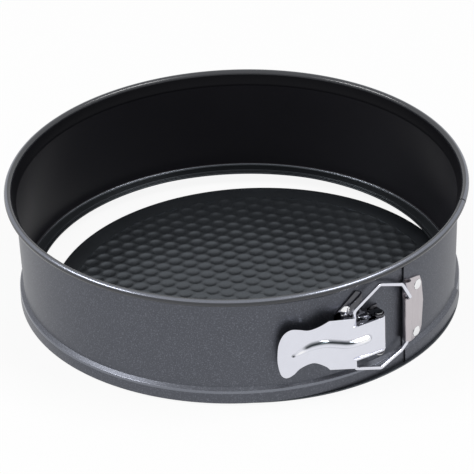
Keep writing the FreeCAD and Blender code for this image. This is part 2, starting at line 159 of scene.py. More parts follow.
class PanLeverSizes(bpy.types.PropertyGroup):
    sheet: length("Sheet", "Thickness of the lever", 0.0010)
    near_offset: length("Near offset", "Plate to wall at the pivot end", 0.0096)
    far_offset: length("Far offset", "Plate to wall at the handle end", 0.0062)
    near_end: angle("Near end", "Pivot end of the plate", -53.9)
    step: angle("Step", "Where the plate widens", -62.0)
    tip: angle("Tip", "Handle end", -81.6)
    narrow_half: length("Narrow half", "Half height at the ears", 0.0112)
    step_high: length("Step high", "Step's upper corner above the clasp's middle", 0.0156)
    step_low: length("Step low", "Step's lower corner below the clasp's middle", 0.0176)
    shoulder_left: length("Shoulder left", "Shoulders, left of the lever's middle", 0.0026)
    shoulder_high: length("Shoulder high", "Upper shoulder above the clasp's middle", 0.0182)
    shoulder_low: length("Shoulder low", "Lower shoulder below the clasp's middle", 0.0140)
    crank_offset: length("Crank offset", "Crank axis to the wall", 0.0060)
    crank: angle("Crank", "Direction of the crank axis", -61.8)
    ear_sheet: length("Ear sheet", "Thickness of an ear", 0.0012)
    ear_pivot_round: length("Ear round at pivot", "Ear's round end at the pivot", 0.0036)
    ear_crank_round: length("Ear round at crank", "Ear's round end at the crank", 0.0046)
    pivot_hole: length("Pivot hole", "Radius of the hole for the pin", 0.00160)
    crank_hole: length("Crank hole", "Radius of the slot's narrow end", 0.00138)
    slot_middle: length("Slot middle", "Radius of the slot's middle", 0.00330)
    slot_far: length("Slot far end", "Radius of the slot's far end", 0.00260)
    slot_lean: length("Slot lean", "Slot nearer the wall than the ear's middle", 0.00040)
    ear_tuck: length("Ear tuck", "Ear's fold below the plate's turned edge", 0.0001)
    ear_edge: length("Ear edge", "Rounding of the ears' edges", 0.0002)
    rib_half: length("Rib half width", "Half width of the rib", 0.0024)
    rib_height: length("Rib height", "Height of the rib", 0.0014)
    edge_turn: length("Edge turn", "How far the plate's edge turns to the wall", 0.0007)
    edge_width: length("Edge width", "Width of the turned edge", 0.0022)
    edge_round: length("Edge rounding", "Rounding of the plate's edges", 0.00022)
    grain: length("Mesh grain", "Spacing of the plate's mesh", 0.0006)
    plating: colour("Plating", "Bright plating", 0.72, 0.73, 0.80)


class PanClaspSizes(bpy.types.PropertyGroup):
    wire_radius: length("Wire radius", "Radius of the bail's wire", 0.0011)
    bend_radius: length("Bend radius", "Inside bend of the wire", 0.0030)
    roll_radius: length("Roll radius", "Outer radius of the catch's roll", 0.00245)
    roll_low: length("Roll low end", "Lower end of the roll below the clasp's middle", 0.0176)
    turn_height: length("Turn height", "Where the wire turns out of the roll", 0.0118)
    turn_left: length("Turn left", "Where it passes in front of the roll", 0.0012)
    turn_rise: length("Turn rise", "Its highest point in front of the roll above that turn", 0.0004)
    front_gap: length("Front gap", "Air between wire and roll", 0.0003)
    edge_round: length("Edge rounding", "Rounding of the brackets' edges", 0.00022)
    satin: colour("Satin", "Catch bracket plating", 0.53, 0.495, 0.515)
    steel: colour("Steel", "Rivets and pin", 0.70, 0.70, 0.72)
    # The lever bracket's dark colour is painted shade and painted reflection, for the bracket behind the
    # lever.
    dark: colour("Dark steel", "Lever bracket", 0.10, 0.10, 0.11)


class PanStageSizes(bpy.types.PropertyGroup):
    camera_place: FloatVectorProperty(name="Camera", description="Camera position",
                                      default=(0.0, -2.0084, 1.2343), subtype="XYZ", unit="LENGTH")
    camera_target: FloatVectorProperty(name="Target", description="Point the camera looks at",
                                       default=(-0.0007, -0.0079, 0.0375), subtype="XYZ", unit="LENGTH")
    camera_roll: angle("Roll", "Turn of the camera about its own axis", -2.01)
    lens: FloatProperty(name="Lens", description="Focal length", default=303.5, unit="CAMERA")
    world_light: FloatProperty(name="World light", description="Light of the surroundings", default=0.40)
    box_width: length("Softbox width", "Long side of a softbox", 1.0)
    box_depth: length("Softbox depth", "Short side of a softbox", 0.24)
    box_power: FloatProperty(name="Softbox power", description="Power of one softbox", default=14.0,
                             unit="POWER")
    floor_half: length("Floor half width", "Half width of the floor", 6.0)
    floor: colour("Floor", "Floor", 0.9, 0.9, 0.9)


# ------------------------------------------------------------------ shader helpers

WHITE = (1.0, 1.0, 1.0, 1.0)
PAINTED_HIGHLIGHT = (0.98, 0.98, 0.98, 1.0)           # painted highlight on pressed ribs and rivet heads
PAINTED_SHADE = (0.012, 0.020, 0.022, 1.0)        # painted shade on them
FINE_FLECKS, COARSE_FLECKS = 2600.0, 1500.0     # noise scales of the coating's flecks


class Value:
    """A node socket that takes part in arithmetic."""

    def __init__(self, nodes, socket):
        self.nodes, self.socket = nodes, socket

    def _maths(self, operation, *values, swapped=False):
        values = (self,) + values
        if swapped:
            values = values[::-1]
        return self.nodes.add("ShaderNodeMath", {"operation": operation}, dict(enumerate(values)))

    def __add__(self, other):
        return self._maths("ADD", other)

    def __radd__(self, other):
        return self._maths("ADD", other)

    def __sub__(self, other):
        return self._maths("SUBTRACT", other)

    def __rsub__(self, other):
        return self._maths("SUBTRACT", other, swapped=True)

    def __mul__(self, other):
        return self._maths("MULTIPLY", other)

    def __rmul__(self, other):
        return self._maths("MULTIPLY", other)

    def above(self, limit, softness):
        """0 below the limit and 1 above it, over a soft edge."""
        return self.nodes.add("ShaderNodeMapRange", {"interpolation_type": "SMOOTHSTEP"},
                              {"Value": self, "From Min": limit - softness, "From Max": limit + softness})


class Nodes:
    """Builds one node tree."""

    def __init__(self, tree):
        self.tree = tree

    def add(self, kind, settings=None, values=None, output=0):
        """New node of a type, with its settings and then its sockets' values or links; returns one output."""
        node = self.tree.nodes.new(kind)
        for name, value in (settings or {}).items():
            setattr(node, name, value)
        for name, value in (values or {}).items():
            socket = node.inputs[name]
            if isinstance(value, Value):
                self.tree.links.new(value.socket, socket)
            else:
                socket.default_value = value
        return Value(self, node.outputs[output])

    def noise(self, place, scale, detail=2.0, roughness=0.5):
        """Random value around 0.5 that changes over the place."""
        values = {"Vector": place, "Scale": scale, "Detail": detail, "Roughness": roughness}
        return self.add("ShaderNodeTexNoise", {"noise_dimensions": "3D"}, values, output="Fac")

    def mix(self, factor, first, second):
        """Colour between two colours."""
        node = self.tree.nodes.new("ShaderNodeMix")
        node.data_type = "RGBA"
        for index, value in ((0, factor), (6, first), (7, second)):
            if isinstance(value, Value):
                self.tree.links.new(value.socket, node.inputs[index])
            else:
                node.inputs[index].default_value = value
        return Value(self, node.outputs[2])


def rgba(rgb, factor=1.0):
    """Colour with its alpha, made lighter or darker by a factor."""
    return tuple(min(1.0, c * factor) for c in rgb) + (1.0,)


def new_material(name, fill):
    """Material whose principled shader is filled in by fill(nodes, place, plug)."""
    material = bpy.data.materials.new(name)
    material.use_nodes = True
    tree = material.node_tree
    tree.nodes.clear()
    nodes = Nodes(tree)
    place = nodes.add("ShaderNodeTexCoord", output="Object")
    shader = tree.nodes.new("ShaderNodeBsdfPrincipled")
    output = tree.nodes.new("ShaderNodeOutputMaterial")
    tree.links.new(shader.outputs[0], output.inputs["Surface"])

    def plug(name, value):
        if isinstance(value, Value):
            tree.links.new(value.socket, shader.inputs[name])
        else:
            shader.inputs[name].default_value = value

    fill(nodes, place, plug)
    return material


def bumped(nodes, height, strength, distance):
    """Normal bent by a height."""
    return nodes.add("ShaderNodeBump", None,
                     {"Height": height, "Strength": strength, "Distance": distance}, output="Normal")


def coating_material(name, rgb, roughness, metallic, speckle, gloss, fleck_scale=FINE_FLECKS):
    """Non-stick coating: fine light and dark flecks, faint orange peel and a slow change of tone."""
    def fill(nodes, place, plug):
        fleck = nodes.noise(place, fleck_scale, detail=2.0, roughness=0.6)
        tone = nodes.noise(place, scale=26.0, detail=3.0)
        peel = nodes.noise(place, scale=900.0, detail=3.0)
        light = fleck.above(limit=0.60, softness=0.10)
        base = nodes.mix(tone, rgba(rgb, 0.92), rgba(rgb, 1.08))
        plug("Base Color", nodes.mix(light * speckle, base, rgba(rgb, 2.0)))
        plug("Roughness", roughness + (tone - 0.5) * 0.10 + (fleck - 0.5) * 0.12)
        plug("Metallic", metallic)
        plug("Specular IOR Level", gloss)
        plug("Normal", bumped(nodes, peel + fleck * 0.5, strength=0.12, distance=0.0002))
    return new_material(name, fill)


def plating_material(name, rgb, roughness, grain, painted_light=0.0):
    """Plated steel: faint rolling marks along the height and small worn spots.

    Where the mesh carries painted light, a rib's flank and a rivet head's side get painted shade, and the
    rib's crest and the head's top a painted highlight.
    """
    def fill(nodes, place, plug):
        stretched = nodes.add("ShaderNodeMapping", None, {"Vector": place, "Scale": (1.0, 1.0, 0.12)},
                              output="Vector")
        marks = nodes.noise(stretched, scale=900.0, detail=2.0)
        wear = nodes.noise(place, scale=120.0, detail=4.0)
        base = nodes.mix(wear, rgba(rgb, 0.95), rgba(rgb, 1.04))
        # Painted highlight and painted shade: height holds the mesh's painted light value, above 0 for
        # highlight, below 0 for shade.
        if painted_light:
            height = nodes.add("ShaderNodeAttribute", {"attribute_name": "painted_light"}, output="Fac")
            base = nodes.mix(height * painted_light, base, PAINTED_HIGHLIGHT)
            base = nodes.mix(height * -painted_light, base, PAINTED_SHADE)
        plug("Base Color", base)
        plug("Metallic", 1.0)
        plug("Roughness", roughness + (marks - 0.5) * grain + (wear - 0.5) * 0.06)
        plug("Normal", bumped(nodes, marks + wear * 0.6, strength=0.05, distance=0.0002))
    return new_material(name, fill)


# ------------------------------------------------------------------ mesh helpers

def polar(radius, direction, z=0.0):
    """Point at a radius and direction from the frame's upright axis."""
    return Vector((radius * math.cos(direction), radius * math.sin(direction), z))


def add_object(name, mesh, materials):
    """New object with a mesh and its materials."""
    for material in materials:
        mesh.materials.append(material)
    piece = bpy.data.objects.new(name, mesh)
    bpy.context.scene.collection.objects.link(piece)
    return piece


def smooth_by_angle(mesh, degrees=32.0):
    """Smooth faces with sharp edges above an angle."""
    mesh.polygons.foreach_set("use_smooth", [True] * len(mesh.polygons))
    bm = bmesh.new()
    bm.from_mesh(mesh)
    limit = math.radians(degrees)
    for edge in bm.edges:
        edge.smooth = len(edge.link_faces) == 2 and edge.calc_face_angle(0.0) < limit
    bm.to_mesh(mesh)
    bm.free()


SHARP_EDGE = math.radians(50)


def broken_edges(piece, width):
    """Adds a narrow bevel along the sharp edges."""
    bevel = piece.modifiers.new("edges", "BEVEL")
    bevel.width, bevel.segments = width, 2
    bevel.limit_method, bevel.angle_limit = "ANGLE", SHARP_EDGE


def baked(piece):
    """Applies the piece's modifiers."""
    evaluated = piece.evaluated_get(bpy.context.evaluated_depsgraph_get())
    mesh = bpy.data.meshes.new_from_object(evaluated)
    old = piece.data
    piece.modifiers.clear()
    piece.data = mesh
    if isinstance(old, bpy.types.Mesh):
        bpy.data.meshes.remove(old)
    return piece


NEARLY_STRAIGHT = math.pi - 0.02


def rounded(corners, steps=5):
    """Replaces each corner (x, y, radius, tag) of a closed outline with an arc; returns points and tags."""
    points, tags = [], []
    count = len(corners)
    for i, (x, y, radius, tag) in enumerate(corners):
        here = Vector((x, y))
        before = Vector(corners[i - 1][:2]) - here
        after = Vector(corners[(i + 1) % count][:2]) - here
        turn = before.angle(after)
        if radius <= 0 or turn > NEARLY_STRAIGHT:
            points.append(here)
            tags.append(tag)
            continue
        reach = min(radius / math.tan(turn / 2), before.length * 0.49, after.length * 0.49)
        size = reach * math.tan(turn / 2)
        centre = here + (before.normalized() + after.normalized()).normalized() * (size / math.sin(turn / 2))
        start = here + before.normalized() * reach - centre
        finish = here + after.normalized() * reach - centre
        sweep = start.angle_signed(finish)
        for k in range(steps + 1):
            points.append(centre + Matrix.Rotation(-sweep * k / steps, 2) @ start)
            tags.append(tag)
    return points, tags


def swept_band(bm, section, tags, start, finish, facet):
    """Closed solid from a section (radius, height) turned about Z on a shared grid of angles."""
    cells = max(1, round((finish - start) / facet))
    rings = []
    for k in range(cells + 1):
        direction = start + (finish - start) * k / cells
        rings.append([bm.verts.new(polar(p.x, direction, p.y)) for p in section])
    count = len(section)
    for a, b in zip(rings, rings[1:]):
        for i in range(count):
            j = (i + 1) % count
            face = bm.faces.new((a[i], b[i], b[j], a[j]))
            face.material_index = tags[i]
    for ring in (rings[0], rings[-1]):
        bm.faces.new(ring).material_index = 0


def mesh_from(bm, name):
    """Mesh with its faces pointing outwards."""
    bmesh.ops.recalc_face_normals(bm, faces=bm.faces)
    mesh = bpy.data.meshes.new(name)
    bm.to_mesh(mesh)
    bm.free()
    return mesh


# ------------------------------------------------------------------ band

OUTSIDE, INSIDE, LIP, EDGE_SHADE, FLARE_SHADE, CREST_HIGHLIGHT = range(6)
ROLL_POINTS = 26                # points round the rolled rim
HIGHLIGHT_FACETS = slice(8, 12)     # facets of the rolled rim, from its inner flank, that face up and out; they carry a painted highlight


def band_section(s):
    """Section of the band: rolled rim, flare, wall, folded lip and skirt."""
    rim = Vector((s.rim_radius, s.rim_height))
    outer = [rim + Vector((math.cos(a), math.sin(a))) * s.roll_radius
             for a in np.linspace(math.pi, s.roll_end, ROLL_POINTS)]
    hollow = s.roll_radius - s.sheet
    inner = [rim + Vector((math.cos(a), math.sin(a))) * hollow
             for a in np.linspace(s.roll_end, math.pi, ROLL_POINTS)]
    root = s.crease_height - s.root_drop
    step_radius = s.lip_radius + s.ledge_width
    fold = 2 * s.sheet
    tight = s.crease_bend
    corners = [
        (s.wall_top_radius, s.neck_height, s.neck_bend, OUTSIDE),
        (s.wall_low_radius, s.crease_height, tight, OUTSIDE),
        # The shoulder's bend and the band under it carry the crest's painted highlight.
        (s.skirt_radius, s.shoulder_height, s.shoulder_bend, CREST_HIGHLIGHT),
        (s.skirt_radius, s.shoulder_height - s.shoulder_highlight_band, 0, OUTSIDE),
        (s.skirt_radius, 0, tight, OUTSIDE),
        (s.skirt_radius - s.sheet, 0, tight, OUTSIDE),
        (s.skirt_radius - s.sheet, root - fold - s.sheet, tight, OUTSIDE),
        (s.lip_radius, s.ledge_height - fold, s.lip_bend, LIP),
        (s.lip_radius, s.ledge_height, s.lip_bend, LIP),
        (step_radius, s.ledge_height, tight, LIP),
        (step_radius, s.ledge_height + s.ledge_step, s.ledge_bend, LIP),
        (s.wall_low_radius - 4 * s.sheet, root - s.bead, s.bead_bend, LIP),
        # The bead's top at the lip's root carries the crest's painted highlight.
        (s.wall_low_radius - 3 * s.sheet, root + s.bead, tight, CREST_HIGHLIGHT),
        (s.wall_low_radius - 2 * s.sheet, root - s.bead, tight, INSIDE),
        (s.wall_low_radius - s.sheet, root, tight, INSIDE),
        (s.wall_low_radius - s.sheet, s.crease_height, 0, INSIDE),
        # The inside of the flare takes painted shade.
        (s.wall_top_radius - s.sheet, s.neck_height, s.neck_bend, FLARE_SHADE)]
    # The rounding needs both neighbours, so the rim's ends stand in the list and are dropped again.
    ends = [(inner[-1].x, inner[-1].y, 0, OUTSIDE)] + corners + [(outer[0].x, outer[0].y, 0, INSIDE)]
    wall, tags = rounded(ends)
    wall, tags = wall[1:-1], tags[1:-1]
    section = outer + inner + wall
    # Most of the roll takes the edge's painted shade; its facets that face up and out take the crest's
    # painted highlight.
    roll_tags = [EDGE_SHADE] * (len(outer) + len(inner))
    roll_tags[HIGHLIGHT_FACETS] = [CREST_HIGHLIGHT] * len(roll_tags[HIGHLIGHT_FACETS])
    section_tags = roll_tags + tags
    return [Vector((p.x, p.y + BAND_FOOT)) for p in section], section_tags


def wall_radius(s, z):
    """Outside of the wall at a height above the foot."""
    rise = (z - s.crease_height) / (s.neck_height - s.crease_height)
    return s.wall_low_radius + (s.wall_top_radius - s.wall_low_radius) * rise


def clasp_wall(context):
    """Outside of the wall at the clasp's height."""
    return wall_radius(context.scene.pan_band, CLASP_Z - BAND_FOOT)


def lap_section(s, inner_shift, outer_shift):
    """Section of the plain outer layer."""
    top = s.neck_height - s.lap_top_gap

    def side(shift, face):
        return [(wall_radius(s, top) + shift, top, s.lap_bend, face),
                (s.wall_low_radius + shift, s.crease_height, s.crease_bend, face),
                (s.skirt_radius + shift, s.shoulder_height, s.shoulder_bend, face),
                (s.skirt_radius + shift, 0, s.lap_bend, face)]

    section, tags = rounded(side(outer_shift, OUTSIDE) + side(inner_shift, INSIDE)[::-1])
    return [Vector((p.x, p.y + BAND_FOOT)) for p in section], tags


def arc_piece(s, name, start, finish, materials, laps=()):
    """One arc of the band, with any plain outer layers (start, finish, inner shift, outer shift) on it."""
    bm = bmesh.new()
    section, tags = band_section(s)
    swept_band(bm, section, tags, start, finish, s.facet)
    for lap_start, lap_finish, inner_shift, outer_shift in laps:
        lap, lap_tags = lap_section(s, inner_shift, outer_shift)
        swept_band(bm, lap, lap_tags, lap_start, lap_finish, s.facet)
    piece = add_object(name, mesh_from(bm, name), materials)
    smooth_by_angle(piece.data)
    return piece


class PAN_OT_band(bpy.types.Operator):
    """Coated steel band in three arcs: one at the back, two ride on the halves"""
    bl_idname = "pan.band"
    bl_label = "Band"

    def execute(self, context):
        s = context.scene.pan_band
        # In the order of the face tags: name, colour, roughness, metallic, speckle, gloss, fleck scale.
        # The crest finish is a painted highlight on a glossier coat; the edge and flare finishes are painted
        # shade.
        finishes = (("coated_outside", s.outside, 0.40, 0.92, 0.75, 0.50, COARSE_FLECKS),
                    ("coated_inside", s.inside, 0.36, 0.00, 0.30, 0.16, FINE_FLECKS),
                    ("coated_lip", s.lip, 0.30, 0.85, 0.40, 0.50, FINE_FLECKS),
                    ("coated_edge_painted_shade", s.edge, 0.22, 0.00, 0.30, 0.60, FINE_FLECKS),
                    ("coated_flare_painted_shade", s.flare, 0.36, 0.00, 0.30, 0.06, FINE_FLECKS),
                    ("coated_crest_painted_highlight", s.crest, 0.24, 0.95, 0.20, 0.50, FINE_FLECKS))
        materials = [coating_material(*finish) for finish in finishes]
        turn = 2 * math.pi
        left_edge, right_edge = s.back + s.back_half, s.back - s.back_half
        rim_start = s.tongue_end + s.tongue_gap
        rim_joined = rim_start + s.lap_joggle
        left = arc_piece(s, "band_left_front", left_edge, turn + s.tongue_end, materials)
        right = arc_piece(s, "band_right_front", rim_start, right_edge, materials,
                          laps=[(s.lap_end, rim_joined, s.lap_gap, s.lap_shift),
                                (rim_start, rim_joined, -s.sheet / 2, s.lap_shift)])
        back = arc_piece(s, "band_back", right_edge, left_edge, materials)
        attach(left, "left_band")
        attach(right, "right_band")
        along = polar(s.wall_top_radius * math.sin(s.back_half) * 0.9, s.back + math.pi / 2)
        hinge = polar(s.wall_top_radius, s.back)
        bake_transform(back)
        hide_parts("band_left")
        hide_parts("band_right")
        return {"FINISHED"}


# ------------------------------------------------------------------ base plate

TILE_SIDES = 12
# One dimple from its mouth to its middle: share of its radius, share of its depth.
DIMPLE_PROFILE = ((1.0, 0.0), (0.93, 0.08), (0.80, 0.34), (0.60, 0.66), (0.34, 0.90))


def tile_mesh(s):
    """Hexagonal tile of the pressed sheet with one dimple in it, closed at its sides and underside."""
    bm = bmesh.new()
    angles = [2 * math.pi * k / TILE_SIDES for k in range(TILE_SIDES)]
    half = s.pitch / 2
    # A hexagon with its flats across the lattice's three directions; every second point is a corner.
    edge = [half if k % 2 == 0 else half / math.cos(math.pi / 6) for k in range(TILE_SIDES)]

    def ring(radii, z):
        return [bm.verts.new((r * math.cos(a), r * math.sin(a), z)) for r, a in zip(radii, angles)]
    rings = [ring(edge, -s.skin), ring(edge, 0.0)]
    rings += [ring([s.dimple_radius * radius] * TILE_SIDES, -s.dimple_depth * depth)
              for radius, depth in DIMPLE_PROFILE]
    for low, high in zip(rings, rings[1:]):
        for i in range(TILE_SIDES):
            j = (i + 1) % TILE_SIDES
            bm.faces.new((low[i], low[j], high[j], high[i]))
    bottom = bm.verts.new((0, 0, -s.dimple_depth))
    for i in range(TILE_SIDES):
        bm.faces.new((rings[-1][i], rings[-1][(i + 1) % TILE_SIDES], bottom))
    bm.faces.new(rings[0][::-1])
    return mesh_from(bm, "dimple_tile")


def lattice_tree():
    """Geometry Nodes: one tile repeated on a hexagonal lattice inside a circle."""
    tree = bpy.data.node_groups.new("Dimple lattice", "GeometryNodeTree")
    inputs = (("Geometry", "NodeSocketGeometry"), ("Dimple", "NodeSocketObject"),
              ("Pitch", "NodeSocketFloat"), ("Field radius", "NodeSocketFloat"),
              ("Direction", "NodeSocketFloat"), ("Centre", "NodeSocketVector"),
              ("Rows", "NodeSocketInt"), ("Material", "NodeSocketMaterial"))
    for name, kind in inputs:
        tree.interface.new_socket(name, in_out="INPUT", socket_type=kind)
    tree.interface.new_socket("Geometry", in_out="OUTPUT", socket_type="NodeSocketGeometry")
    nodes = Nodes(tree)
    group = tree.nodes.new("NodeGroupInput")
    given = {name: Value(nodes, group.outputs[name]) for name, _ in inputs}
    row_pitch = given["Pitch"] * math.sin(math.pi / 3)
    grid = nodes.add("GeometryNodeMeshGrid", None,
                     {"Size X": given["Pitch"] * (given["Rows"] - 1.0),
                      "Size Y": row_pitch * (given["Rows"] - 1.0),
                      "Vertices X": given["Rows"], "Vertices Y": given["Rows"]})
    index = nodes.add("GeometryNodeInputIndex")
    parity = nodes.add("ShaderNodeMath", {"operation": "MODULO"}, {0: index, 1: given["Rows"]})
    odd = nodes.add("ShaderNodeMath", {"operation": "MODULO"}, {0: parity, 1: 2.0})
    stagger = nodes.add("ShaderNodeCombineXYZ", None, {"X": odd * given["Pitch"] * 0.5})
    staggered = nodes.add("GeometryNodeSetPosition", None, {"Geometry": grid, "Offset": stagger})
    place = nodes.add("GeometryNodeInputPosition")
    reach = nodes.add("ShaderNodeVectorMath", {"operation": "LENGTH"}, {0: place}, output="Value")
    beyond = nodes.add("FunctionNodeCompare", {"data_type": "FLOAT", "operation": "GREATER_THAN"},
                       {"A": reach, "B": given["Field radius"]})
    kept = nodes.add("GeometryNodeDeleteGeometry", {"domain": "POINT"},
                     {"Geometry": staggered, "Selection": beyond})
    shape = nodes.add("GeometryNodeObjectInfo", None, {"Object": given["Dimple"]}, output="Geometry")
    spread = nodes.add("GeometryNodeInstanceOnPoints", None, {"Points": kept, "Instance": shape})
    real = nodes.add("GeometryNodeRealizeInstances", None, {"Geometry": spread})
    turn = nodes.add("ShaderNodeCombineXYZ", None, {"Z": given["Direction"]})
    placed = nodes.add("GeometryNodeTransform", None,
                       {"Geometry": real, "Translation": given["Centre"], "Rotation": turn})
    painted = nodes.add("GeometryNodeSetMaterial", None, {"Geometry": placed, "Material": given["Material"]})
    output = tree.nodes.new("NodeGroupOutput")
    tree.links.new(painted.socket, output.inputs["Geometry"])
    return tree


def nodes_piece(name, tree, values):
    """Runs a Geometry Nodes tree on an empty mesh and keeps the result as a plain mesh."""
    piece = add_object(name, bpy.data.meshes.new(name), [])
    modifier = piece.modifiers.new("nodes", "NODES")
    modifier.node_group = tree
    for item in tree.interface.items_tree:
        if item.in_out == "INPUT" and item.name in values:
            modifier[item.identifier] = values[item.name]
    bpy.context.view_layer.update()
    return baked(piece)


def turned_plate(section, centre, cells=256):
    """Solid turned about an upright axis from a section whose two ends stand on that axis."""
    bm = bmesh.new()
    ends = [bm.verts.new((centre.x, centre.y, p.y)) for p in section[-2:]]
    rings = []
    for k in range(cells):
        direction = 2 * math.pi * k / cells
        rings.append([bm.verts.new((centre.x + p.x * math.cos(direction),
                                    centre.y + p.x * math.sin(direction), p.y))
                      for p in section[:-2]])
    for a, b in zip(rings, rings[1:] + rings[:1]):
        for i in range(len(section) - 3):
            bm.faces.new((a[i], b[i], b[i + 1], a[i + 1]))
        bm.faces.new((a[-1], b[-1], ends[0]))
        bm.faces.new((a[0], b[0], ends[1]))
    return mesh_from(bm, "turned_plate")


class PAN_OT_base_plate(bpy.types.Operator):
    """Coated base plate with its field of dimples"""
    bl_idname = "pan.base_plate"
    bl_label = "Base plate"

    def execute(self, context):
        s = context.scene.pan_base
        coating = coating_material("coated_base", s.coating, roughness=0.33, metallic=0.85, speckle=0.3,
                                   gloss=0.5)
        radius = (BASE_HIGH.x - BASE_LOW.x) / 2
        low, high = BASE_LOW.z, BASE_HIGH.z
        field = radius - s.border
        # The border trims the outermost tiles and lies a hair above them; its underside closes the plate.
        section, _ = rounded([(radius, low, s.edge_round, 0), (radius, high, s.edge_round, 0),
                              (field, high, 0, 0), (field, high - s.skin, 0, 0), (0.0, high - s.skin, 0, 0),
                              (0.0, low, 0, 0)], 3)
        plate = add_object("base_plate_sheet", turned_plate(section, BASE_CENTRE), [coating])
        smooth_by_angle(plate.data, 40)
        tile = add_object("dimple_pattern", tile_mesh(s), [])
        rows = 2 * int(radius / s.pitch) + 5
        tiles = nodes_piece("base_dimples", lattice_tree(), {
            "Dimple": tile, "Pitch": s.pitch, "Field radius": field + s.overlap, "Direction": s.lattice,
            "Centre": Vector((BASE_CENTRE.x, BASE_CENTRE.y, high - s.hair)), "Rows": rows,
            "Material": coating})
        bpy.data.objects.remove(tile)
        smooth_by_angle(tiles.data, 40)
        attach(plate, "base")
        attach(tiles, "base")
        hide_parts("base_plate")
        return {"FINISHED"}


# ------------------------------------------------------------------ lever

def through(points, steps):
    """Smooth open curve through points (Catmull-Rom)."""
    pts = [2 * points[0] - points[1]] + list(points) + [2 * points[-1] - points[-2]]
    curve = []
    for a, b, c, d in zip(pts, pts[1:], pts[2:], pts[3:]):
        for k in range(steps):
            t = k / steps
            curve.append(0.5 * (2 * b + (c - a) * t + (2 * a - 5 * b + 4 * c - d) * t * t
                                + (3 * b - a - 3 * c + d) * t ** 3))
    return curve + [pts[-2]]


# Distance to the left of the lever's middle and height over the clasp's middle.
HANDLE_CURVE = ((0.0054, -0.0110), (0.0121, -0.0075), (0.0194, -0.0096), (0.0236, -0.0134), (0.0274, -0.0150),
                (0.0304, -0.0126), (0.0320, -0.0056), (0.0321, 0.0010), (0.0312, 0.0080), (0.0286, 0.0136),
                (0.0246, 0.0163), (0.0200, 0.0159), (0.0148, 0.0146), (0.0090, 0.0156))
RIB_LINE = ((0.0238, -0.0004), (0.0207, 0.0012), (0.0170, 0.0029), (0.0124, 0.0044), (0.0055, 0.0044),
            (-0.0017, 0.0024), (-0.0065, 0.0008), (-0.0114, 0.0000), (-0.0165, 0.0001), (-0.0206, 0.0005))


OUTER_CORNER, INNER_CORNER = 0.0008, 0.0006     # corners of the lever's plate


class LeverForm:
    """Where a point (distance to the left, height, rise off the plate) of the lever lies in the frame."""

    def __init__(self, s, wall):
        self.s, self.wall = s, wall
        self.middle = (s.near_end + s.tip) / 2
        self.radius = wall + (s.near_offset + s.far_offset) / 2
        self.shift = (s.near_offset - s.far_offset) / 2 / math.sin((s.near_end - s.tip) / 2)
        self.out, self.right = polar(1, self.middle), polar(1, self.middle + math.pi / 2)

    def left(self, direction):
        """Distance to the left of the lever's middle, from a direction in the frame."""
        return -self.radius * math.sin(direction - self.middle)

    def at(self, left, z, rise):
        """Place in the frame."""
        lateral = -left
        deep = math.sqrt((self.radius + rise) ** 2 - (lateral - self.shift) ** 2)
        return self.out * deep + self.right * lateral + Vector((0, 0, z))

    def outline(self):
        """Closed outline of the flat plate (left, height)."""
        s = self.s
        mid, narrow = CLASP_Z, s.narrow_half
        end, step = self.left(s.near_end), self.left(s.step)
        shoulders = [(s.shoulder_left, mid + s.shoulder_high), (s.shoulder_left, mid - s.shoulder_low)]
        corners = [(step, mid + s.step_high, OUTER_CORNER, 0), (step, mid + narrow, INNER_CORNER, 0),
                   (end, mid + narrow, OUTER_CORNER, 0), (end, mid - narrow, OUTER_CORNER, 0),
                   (step, mid - narrow, INNER_CORNER, 0), (step, mid - s.step_low, OUTER_CORNER, 0)]
        fixed, _ = rounded([(*shoulders[0], 0, 0)] + corners + [(*shoulders[1], 0, 0)])
        curve = [(left, mid + rise) for left, rise in HANDLE_CURVE]
        handle = through([Vector(p) for p in [shoulders[1]] + curve + [shoulders[0]]], 8)
        return [p.copy() for p in fixed[:-1]] + handle[:-1]

    def rib_spine(self):
        """Middle line of the rib (left, height)."""
        return through([Vector((left, CLASP_Z + rise)) for left, rise in RIB_LINE], 12)


def distance_to(points, line, closed):
    """Distance from each point to a polyline, and the share along it."""
    a = np.array(line, float)
    b = np.roll(a, -1, 0) if closed else a[1:]
    a = a if closed else a[:-1]
    d = b - a
    rel = points[:, None, :] - a[None]
    t = np.clip((rel * d).sum(2) / np.maximum((d * d).sum(1), 1e-18), 0, 1)
    gap = np.linalg.norm(rel - d * t[..., None], axis=2)
    best = gap.argmin(1)
    return gap.min(1), (best + t[np.arange(len(points)), best]) / len(a)


def inside(points, outline):
    """Which points lie inside a closed outline."""
    a = np.array(outline, float)
    b = np.roll(a, -1, 0)
    x, y = points[:, :1], points[:, 1:]
    crosses = (a[:, 1] > y) != (b[:, 1] > y)
    rise = np.where(b[:, 1] == a[:, 1], 1e-12, b[:, 1] - a[:, 1])
    at = a[:, 0] + (y - a[:, 1]) * (b[:, 0] - a[:, 0]) / rise
    return (crosses & (x < at)).sum(1) % 2 == 1


RIB_SKIRT = 1.15      # half width of the close mesh over the rib, as a share of the rib's own
RIB_ROWS = 12         # rows of that mesh on each side of the rib's middle line


def rib_mesh_points(s, spine):
    """Rows of points that follow the rib, and a fan round each end."""
    offsets = np.linspace(-RIB_SKIRT, RIB_SKIRT, 2 * RIB_ROWS + 1) * s.rib_half
    points = []
    for before, here, after in zip(spine, spine[1:], spine[2:]):
        along = (after - before).normalized()
        points += [here + Vector((-along.y, along.x)) * offset for offset in offsets]
    for end, inner in ((spine[0], spine[1]), (spine[-1], spine[-2])):
        heading = math.atan2(end.y - inner.y, end.x - inner.x)
        points += [end + Vector((math.cos(heading + a), math.sin(heading + a))) * offset
                   for offset in offsets[RIB_ROWS + 1:] for a in np.linspace(-math.pi / 2, math.pi / 2, 13)]
    return points


def bump_at(value, middle, width):
    """Smooth hill of height 1 around a middle."""
    return np.exp(-((value - middle) / width) ** 2)


